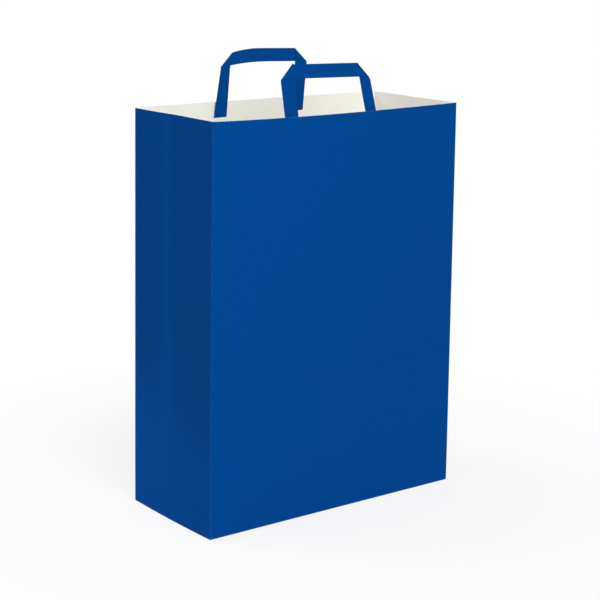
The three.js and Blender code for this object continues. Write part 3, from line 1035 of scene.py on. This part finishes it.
def top_pairs(seat, left, right, strap_width, layer):
    """Pairs along the strap between its folds, bent down at its drooping end"""
    handle = seat.handle
    pairs = []
    for k in range(TOP_STEPS + 1):
        pair = []
        for index, drop, run in ((0, strap_width, DROOP_RUN_BELOW), (1, 0.0, DROOP_RUN_ABOVE)):
            end = right[index]
            bend_at = right[1][0] - run
            u = lerp(left[index][0], end[0], k / TOP_STEPS)
            if handle["droop_below"] > 0 and u > bend_at:
                share = (u - bend_at) / (end[0] - bend_at)
                control = strap_edge(handle, lerp(bend_at, end[0], 0.5), drop)
                u, v = bent(strap_edge(handle, bend_at, drop), control, end, share)
            else:
                v = strap_edge(handle, u, drop)[1]
            pair.append(seat.place(u, -layer, v))
        pairs.append(pair)
    return pairs


def strap_rails(seat, strap_width, thickness):
    """The strap's two edges from one leg's foot to the other's, folded over at each top corner"""
    layer = strap_layer(thickness)
    left, right = (corner_fold(seat.handle, side, strap_width, thickness) for side in (-1, 1))
    pairs = leg_pairs(seat, -1, left, layer) + fold_pairs(seat, left, layer)
    pairs += top_pairs(seat, left["strap"], right["strap"], strap_width, layer)
    pairs += fold_pairs(seat, right, layer)[::-1] + leg_pairs(seat, 1, right, layer)[::-1]
    return [pair[0] for pair in pairs], [pair[1] for pair in pairs]


class CARRIERBAG_OT_handles(bpy.types.Operator):
    """Make both strap handles, each one folded strap with a mitre fold at each top corner"""

    bl_idname = "carrier_bag.handles"
    bl_label = "Make Handles"

    def execute(self, context):
        sizes = context.scene.bag_sizes
        shape = BagShape(sizes)
        straps = (("front_strap", "front_handle", FRONT_HANDLE, FRONT, "Front Strap Print Painted Shade"),
                  ("rear_strap", "rear_handle", REAR_HANDLE, BACK, "Rear Strap Print Painted Light"))
        for name, node, handle, side, print_name in straps:
            # The rear strap's print carries painted light, the front strap's painted shade
            blue = {key: bpy.data.materials[print_name] for key in papers()}
            seat = HandleSeat(shape, handle, side)
            rails = strap_rails(seat, sizes.strap_width, sizes.strap_thickness)
            mesh = strip(name, rails, STRAP_COLUMNS, sizes.strap_thickness, blue,
                         lift=sizes.strap_thickness / 2)
            piece = finished(name, mesh, [node])
            bevel = piece.modifiers.new("Rounded Edges", "BEVEL")
            bevel.width = STRAP_BEVEL
            bevel.segments = BEVEL_SEGMENTS
            bevel.limit_method = "ANGLE"
            bevel.angle_limit = BEVEL_FROM
        return {"FINISHED"}


PATCH_STEPS = 160
PATCH_COLUMNS = 8


def patch_rails(seat, sizes):
    """A patch's lower and upper edges, each stepping up over the straps' glued ends"""
    handle = seat.handle
    legs = [sorted(leg_edge(handle, leg, 0, towards) for towards in (1, -1)) for leg in (-1, 1)]
    first, last = legs[0][0] - PATCH_MARGIN, legs[1][1] + PATCH_MARGIN
    layer = strap_layer(sizes.strap_thickness)
    clear = Vector((0, seat.facing, 0)) * (sizes.strap_thickness / 2 + GLUE_FILM + sizes.paper)
    rails = []
    for edge in (-PATCH_HEIGHT, 0):
        rail = []
        for k in range(PATCH_STEPS + 1):
            u = lerp(first, last, k / PATCH_STEPS)
            v = edge + lerp(*handle["patch_askew"], k / PATCH_STEPS)
            over = smooth(max(1 - max(low - u, u - high) / PATCH_RAMP for low, high in legs))
            flat = seat.on_panel(u, v, GLUE_FILM + 2 * sizes.paper)
            rail.append(flat.lerp(seat.glued(u, v, layer) + clear, over))
        rails.append(rail)
    return rails


class CARRIERBAG_OT_patches(bpy.types.Operator):
    """Make the patches glued over the strap ends, each stepping up over the straps under it"""

    bl_idname = "carrier_bag.patches"
    bl_label = "Make Patches"

    def execute(self, context):
        sizes = context.scene.bag_sizes
        shape = BagShape(sizes)
        materials = papers()
        pale = {**materials, "Face Material": materials["Lining Material"]}
        patches = (("front_patch", "front_handle_patch", FRONT_HANDLE, FRONT),
                   ("rear_patch", "rear_handle_patch", REAR_HANDLE, BACK))
        for name, node, handle, side in patches:
            rails = patch_rails(HandleSeat(shape, handle, side), sizes)
            mesh = strip(name, rails[::-1], PATCH_COLUMNS, sizes.paper, pale)
            finished(name, mesh, [node])
        return {"FINISHED"}


# Stage


AZIMUTH = math.radians(-37.749)
ELEVATION = math.radians(13.166)
ROLL = math.radians(0.901)
DISTANCE = 1746.3 * MM
AIM = (2.785 * MM, 2.81 * MM, 210 * MM)
FOCAL_PIXELS = 1642.3
PHOTO_PIXELS = 600
SENSOR = 36.0
NEAREST, FURTHEST = 0.05, 50

FLOOR_RADIUS = 4.0
FLOOR_SIDES = 64
FLOOR_DROP = 0.2 * MM
FLOOR_ROUGHNESS = 0.9
FLOOR_SPECULAR = 0.1
# How white the floor is near the bag, and the distances between which it turns all white
FLOOR_WHITE = 0.8
FLOOR_FADE = (0.2, 0.6)
ROOM_LIGHT = 0.32
SOFTBOXES = (
    {"name": "Key", "place": (-0.9, -3.6, 2.6), "aim": (0, 0, 0.25), "size": 2.5, "power": 152},
    {"name": "Side", "place": (-2.2, 2.4, 2.6), "aim": (0, 0, 0.3), "size": 2.0, "power": 52},
)


def add_camera():
    back = Vector((math.sin(AZIMUTH) * math.cos(ELEVATION), -math.cos(AZIMUTH) * math.cos(ELEVATION),
                   math.sin(ELEVATION)))
    level_right = (-back).cross(Vector((0, 0, 1))).normalized()
    level_up = level_right.cross(-back)
    right = level_right * math.cos(ROLL) + level_up * math.sin(ROLL)
    up = level_up * math.cos(ROLL) - level_right * math.sin(ROLL)
    data = bpy.data.cameras.new("Camera")
    data.sensor_width = SENSOR
    data.lens = FOCAL_PIXELS / PHOTO_PIXELS * SENSOR
    data.clip_start = NEAREST
    data.clip_end = FURTHEST
    camera = add_object("Camera", data)
    turn = camera.matrix_world.to_3x3()
    turn.col[0], turn.col[1], turn.col[2] = right, up, back
    target = Vector((0, 0, AIM[2])) + right * AIM[0] + up * AIM[1]
    matrix = turn.to_4x4()
    matrix.translation = target + back * DISTANCE
    camera.matrix_world = matrix
    bpy.context.scene.camera = camera


def add_softbox(name, place, aim, size, power):
    data = bpy.data.lights.new(name, "AREA")
    data.shape = "SQUARE"
    data.size = size
    data.energy = power
    light = add_object(name, data)
    light.location = place
    light.rotation_euler = (Vector(aim) - Vector(place)).to_track_quat("-Z", "Y").to_euler()


def seen_directly(nodes):
    """1 for what the camera sees, straight or in a reflection or through glass"""
    light = nodes.add("ShaderNodeLightPath").outputs
    either = nodes.math("MAXIMUM", light["Is Camera Ray"], light["Is Glossy Ray"])
    return nodes.math("MAXIMUM", either, light["Is Transmission Ray"])


def floor_material(colour):
    """Pale floor that keeps the bag's shadow and turns into the white backdrop further out"""
    material, nodes, shader = new_material("Pale Floor")
    shader.inputs["Base Color"].default_value = (*colour, 1)
    shader.inputs["Roughness"].default_value = FLOOR_ROUGHNESS
    shader.inputs["Specular IOR Level"].default_value = FLOOR_SPECULAR
    place = nodes.add("ShaderNodeTexCoord").outputs["Object"]
    distance = nodes.add("ShaderNodeVectorMath", {0: place}, operation="LENGTH").outputs["Value"]
    near, far = FLOOR_FADE
    fade = nodes.add("ShaderNodeMapRange",
                     {"Value": distance, "From Min": near, "From Max": far, "To Min": FLOOR_WHITE},
                     interpolation_type="SMOOTHSTEP").outputs[0]
    white = nodes.add("ShaderNodeEmission", {"Color": (1, 1, 1, 1), "Strength": 1.0})
    factor = nodes.math("MULTIPLY", fade, seen_directly(nodes))
    mix = nodes.add("ShaderNodeMixShader", {0: factor, 1: shader.outputs[0], 2: white.outputs[0]})
    nodes.link(mix.outputs[0], material.node_tree.nodes["Material Output"].inputs["Surface"])
    return material


class CARRIERBAG_OT_stage(bpy.types.Operator):
    """Make the pale floor, the soft studio light and the camera"""

    bl_idname = "carrier_bag.stage"
    bl_label = "Make Stage"

    def execute(self, context):
        scene = context.scene
        turns = [2 * math.pi * k / FLOOR_SIDES for k in range(FLOOR_SIDES)]
        ring = [(FLOOR_RADIUS * math.cos(turn), FLOOR_RADIUS * math.sin(turn), -FLOOR_DROP) for turn in turns]
        floor = add_object("floor", plain_mesh("floor", ring, [list(range(FLOOR_SIDES))]))
        floor.data.materials.append(floor_material(tuple(scene.bag_colours.floor)))
        world = bpy.data.worlds.new("Studio")
        scene.world = world
        world.use_nodes = True
        nodes = Nodes(world.node_tree)
        background = world.node_tree.nodes["Background"]
        background.inputs["Color"].default_value = (1, 1, 1, 1)
        strength = nodes.add("ShaderNodeMapRange",
                             {"Value": seen_directly(nodes), "To Min": ROOM_LIGHT, "To Max": 1.0})
        nodes.link(strength.outputs[0], background.inputs["Strength"])
        for softbox in SOFTBOXES:
            add_softbox(**softbox)
        add_camera()
        scene.view_settings.view_transform = "Standard"
        return {"FINISHED"}


# Add-on


class CARRIERBAG_PT_sidebar(bpy.types.Panel):
    """Lists the bag's sizes and colours and its steps"""

    bl_idname = "CARRIERBAG_PT_sidebar"
    bl_label = "Carrier Bag"
    bl_space_type = "VIEW_3D"
    bl_region_type = "UI"
    bl_category = "Carrier Bag"

    def draw(self, context):
        for settings in (context.scene.bag_sizes, context.scene.bag_colours):
            for key in type(settings).__annotations__:
                self.layout.prop(settings, key)
        for operator in OPERATORS:
            self.layout.operator(operator.bl_idname)


OPERATORS = (
    CARRIERBAG_OT_walls,
    CARRIERBAG_OT_base,
    CARRIERBAG_OT_lap_seam,
    CARRIERBAG_OT_handles,
    CARRIERBAG_OT_patches,
    CARRIERBAG_OT_stage,
)
CLASSES = (BagSizes, BagColours, *OPERATORS, CARRIERBAG_PT_sidebar)


def register():
    for cls in CLASSES:
        bpy.utils.register_class(cls)
    bpy.types.Scene.bag_sizes = bpy.props.PointerProperty(type=BagSizes)
    bpy.types.Scene.bag_colours = bpy.props.PointerProperty(type=BagColours)


def unregister():
    del bpy.types.Scene.bag_colours
    del bpy.types.Scene.bag_sizes
    for cls in reversed(CLASSES):
        bpy.utils.unregister_class(cls)


def main():
    register()
    bpy.ops.carrier_bag.walls()
    bpy.ops.carrier_bag.base()
    bpy.ops.carrier_bag.lap_seam()
    bpy.ops.carrier_bag.handles()
    bpy.ops.carrier_bag.patches()
    bpy.ops.carrier_bag.stage()


if __name__ == "__main__":
    main()
